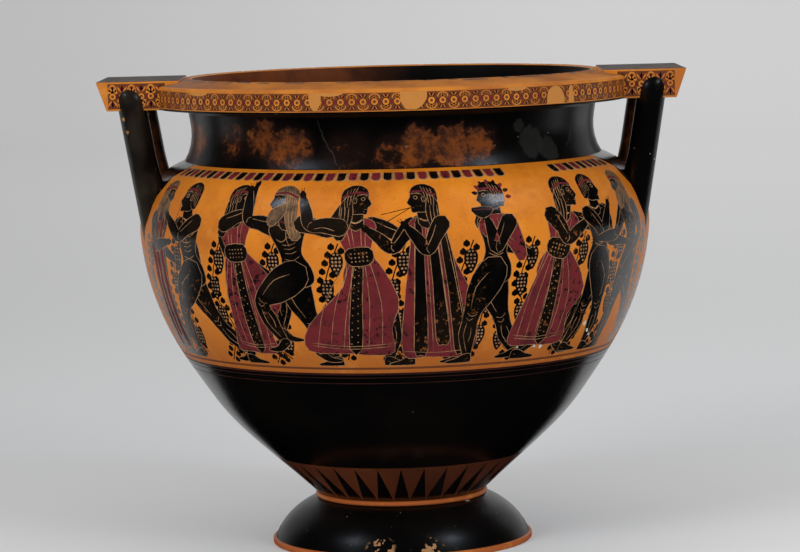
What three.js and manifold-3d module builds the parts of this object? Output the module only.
// A column krater: a large, wide-mouthed clay bowl for mixing wine, thrown on a wheel and fired as one
// piece. Millimetres, +Z up. The origin is the middle of the foot's underside, X runs through both
// handles and Y through the two painted fronts.
import * as THREE from 'three';
import { mergeVertices } from 'three/addons/utils/BufferGeometryUtils.js';
import Module from 'manifold-3d';

const wasm = await Module();
wasm.setup();

// ---------------------------------------------------------------- driving dimensions
const HEIGHT = 565;              // the mouth's lip above the table
const WALL = 9;                  // bowl and neck
const LATHE_SIDES = 64;
const CURVE_STEP = 34;           // length of one facet along a curved profile

const FOOT_RADIUS = 157;
const FOOT_EDGE = 6;             // height of the upright edge that stands on the table
const FOOT_EDGE_STEP = 3;        // how far the edge stands proud of the foot's curve
const FOOT_TOP = 55;
const FOOT_WALL = 13;
const FOOT_ROOF = 47;            // the hollow under the foot, at the axis

const RING_RADIUS = 104;         // the raised fillet between the foot and the bowl
const RING_HEIGHT = 6;
const RING_ROOT = 101;

const BODY_BASE = 61;
const BODY_RADIUS = 305.5;       // widest, at the height of WIDEST
const WIDEST = 378;
const BOWL_FLOOR = 68;

const NECK_BASE = 466;
const NECK_TOP = 524;
const NECK_BASE_RADIUS = 250;
const NECK_RADIUS = 240.8;       // narrowest
const NECK_TOP_RADIUS = 244;

const RIM_RADIUS = 285;
const RIM_UNDERSIDE = 530;
const RIM_EDGE_TOP = 557.5;      // top of the rim's upright face; from there it slopes up to the lip
const LIP_RADIUS = 240;
const LIP_BEVEL = 14;            // height of the slope from the lip into the mouth

const PLATE_WIDTH = 160;         // along Y
const PLATE_REACH = 347.5;        // end of a handle plate from the axis, at its top
const PLATE_UNDERCUT = 12;       // how much shorter the plate is at its underside
const PLATE_TOP = 564.5;
const PLATE_UNDERSIDE = 530;
const PLATE_START = 250;         // inside the rim

const COLUMN_RADIUS = 17;
const COLUMN_SPREAD = 70;        // each column's distance from the plane through both handles
const COLUMN_HEAD = { x: 307, z: 541 };
const COLUMN_ROOT = { x: 279, z: 370 };
const COLUMN_FLARE = 14;         // extra width at the root, towards the neck
const COLUMN_SIDES = 20;

// Points of the turned profile, as (radius, height).
const FOOT_CURVE = [
  [FOOT_RADIUS - FOOT_EDGE_STEP, FOOT_EDGE],
  [147, 20],
  [134.5, 35],
  [117, 48],
  [RING_ROOT, FOOT_TOP],
];
const BODY_CURVE = [
  [RING_ROOT, BODY_BASE],
  [127, 85],
  [197, 150],
  [235.5, 200],
  [272.5, 260],
  [295.5, 320],
  [BODY_RADIUS, WIDEST],
  [302, 408],
  [288, 438],
  [270, 456],
  [NECK_BASE_RADIUS, NECK_BASE],
];
const NECK_CURVE = [
  [NECK_BASE_RADIUS, NECK_BASE],
  [243.5, 480],
  [NECK_RADIUS, 500],
  [NECK_TOP_RADIUS, NECK_TOP],
];

// ---------------------------------------------------------------- helpers
function curveThrough(stations, step = CURVE_STEP) {
  const curve = new THREE.SplineCurve(stations.map(([radius, height]) => new THREE.Vector2(radius, height)));
  return curve.getSpacedPoints(Math.max(3, Math.round(curve.getLength() / step)));
}

function offsetInwards(points, distance) {
  return points.map((point, i) => {
    const before = points[Math.max(i - 1, 0)];
    const after = points[Math.min(i + 1, points.length - 1)];
    const along = after.clone().sub(before).normalize();
    return new THREE.Vector2(point.x - along.y * distance, point.y + along.x * distance);
  });
}

function solidOf(geometry) {
  geometry.deleteAttribute('normal');
  geometry.deleteAttribute('uv');
  const welded = mergeVertices(geometry, 1e-3);
  const corners = welded.index.array;
  const triangles = [];
  for (let i = 0; i < corners.length; i += 3) {
    const [a, b, c] = corners.slice(i, i + 3);
    if (a !== b && b !== c && c !== a) triangles.push(a, b, c);
  }
  return new wasm.Manifold(new wasm.Mesh({
    numProp: 3,
    vertProperties: new Float32Array(welded.attributes.position.array),
    triVerts: new Uint32Array(triangles),
  }));
}

function geometryOf(solid) {
  const mesh = solid.getMesh();
  const geometry = new THREE.BufferGeometry();
  geometry.setAttribute('position', new THREE.BufferAttribute(mesh.vertProperties, 3));
  geometry.setIndex(new THREE.BufferAttribute(mesh.triVerts, 1));
  geometry.computeVertexNormals();
  return geometry;
}

// Turns a profile, which runs upwards from the axis and back to it, about the upright axis.
function turn(profile, sides = LATHE_SIDES) {
  return solidOf(new THREE.LatheGeometry(profile, sides).rotateX(Math.PI / 2));
}

const at = (radius, height) => new THREE.Vector2(radius, height);

// ---------------------------------------------------------------- sub-parts
const bodyCurve = curveThrough(BODY_CURVE);
const neckCurve = curveThrough(NECK_CURVE, CURVE_STEP * 0.75);
const footCurve = curveThrough(FOOT_CURVE, CURVE_STEP * 0.6);

function vesselOutside() {
  const ringMiddle = (FOOT_TOP + BODY_BASE) / 2;
  return turn([
    at(0, 0),
    at(FOOT_RADIUS - 1.5, 0),
    at(FOOT_RADIUS, 1.5),
    at(FOOT_RADIUS, FOOT_EDGE),
    ...footCurve,
    at(RING_RADIUS - 1, ringMiddle - RING_HEIGHT / 4),
    at(RING_RADIUS, ringMiddle),
    at(RING_RADIUS - 1, ringMiddle + RING_HEIGHT / 4),
    ...bodyCurve,
    ...neckCurve.slice(1),
    at(RIM_RADIUS - 3, RIM_UNDERSIDE),
    at(RIM_RADIUS, RIM_UNDERSIDE + 3),
    at(RIM_RADIUS, RIM_EDGE_TOP - 1.5),
    at(RIM_RADIUS - 1.5, RIM_EDGE_TOP),
    at(LIP_RADIUS + 3, HEIGHT),
    at(0, HEIGHT),
  ]);
}

function bowlAndMouthSpace() {
  const inside = offsetInwards(bodyCurve, WALL).filter((point) => point.y > BOWL_FLOOR + WALL);
  const neckInside = neckCurve.map((point) => at(point.x - WALL, point.y));
  return turn([
    at(0, BOWL_FLOOR),
    at(inside[0].x * 0.45, BOWL_FLOOR + 1),
    at(inside[0].x * 0.8, BOWL_FLOOR + 5),
    ...inside.slice(0, -1),
    ...neckInside,
    at(NECK_TOP_RADIUS - WALL, HEIGHT - LIP_BEVEL),
    at(LIP_RADIUS, HEIGHT),
    at(LIP_RADIUS, HEIGHT + WALL),
    at(0, HEIGHT + WALL),
  ]);
}

function footSpace() {
  const inside = offsetInwards(footCurve, FOOT_WALL).filter((point) => point.y < FOOT_ROOF - 3);
  return turn([
    at(0, -WALL),
    at(FOOT_RADIUS - FOOT_WALL, -WALL),
    at(FOOT_RADIUS - FOOT_WALL, 0),
    ...inside,
    at(0, FOOT_ROOF),
  ]);
}

function handlePlate() {
  const side = new THREE.Shape([
    at(PLATE_START, PLATE_UNDERSIDE),
    at(PLATE_REACH - PLATE_UNDERCUT, PLATE_UNDERSIDE),
    at(PLATE_REACH, PLATE_TOP),
    at(PLATE_START, PLATE_TOP),
  ]);
  const plate = new THREE.ExtrudeGeometry(side, { depth: PLATE_WIDTH, bevelEnabled: false });
  return solidOf(plate.rotateX(Math.PI / 2).translate(0, PLATE_WIDTH / 2, 0));
}

// A column leans in from the plate to the shoulder. Its outer side stays straight, and towards its root
// it widens on the side of the neck.
function handleColumn(side) {
  const length = COLUMN_HEAD.z - COLUMN_ROOT.z;
  const profile = [at(0, 0), at(COLUMN_RADIUS, 0)];
  for (const height of [0.3, 0.45, 0.6, 0.8, 1]) profile.push(at(COLUMN_RADIUS, height * length));
  for (const turnUp of [30, 60]) {
    const angle = THREE.MathUtils.degToRad(turnUp);
    profile.push(at(COLUMN_RADIUS * Math.cos(angle), length + COLUMN_RADIUS * Math.sin(angle)));
  }
  profile.push(at(0, length + COLUMN_RADIUS));
  const column = new THREE.LatheGeometry(profile, COLUMN_SIDES).rotateX(Math.PI / 2);
  const point = new THREE.Vector3();
  const corners = column.attributes.position;
  for (let i = 0; i < corners.count; i += 1) {
    point.fromBufferAttribute(corners, i);
    const rise = point.z / length;
    const flare = COLUMN_FLARE * Math.max(0, 1 - rise / 0.6) ** 1.5;
    const inwards = (1 - point.x / COLUMN_RADIUS) / 2;
    const lean = THREE.MathUtils.lerp(COLUMN_ROOT.x, COLUMN_HEAD.x, rise);
    corners.setXYZ(i, point.x + lean - flare * inwards, point.y + side * COLUMN_SPREAD, point.z + COLUMN_ROOT.z);
  }
  return solidOf(column);
}

function handle() {
  return handlePlate().add(handleColumn(-1)).add(handleColumn(1));
}

function krater() {
  const clay = vesselOutside()
    .add(handle())
    .add(handle().rotate([0, 0, 180]))
    .subtract(bowlAndMouthSpace())
    .subtract(footSpace());
  const glaze = new THREE.MeshStandardMaterial({ color: 0x1a1512, roughness: 0.35, metalness: 0 });
  const mesh = new THREE.Mesh(geometryOf(clay), glaze);
  mesh.name = 'krater';
  return mesh;
}

const part = new THREE.Group();
part.add(krater());

export default part;
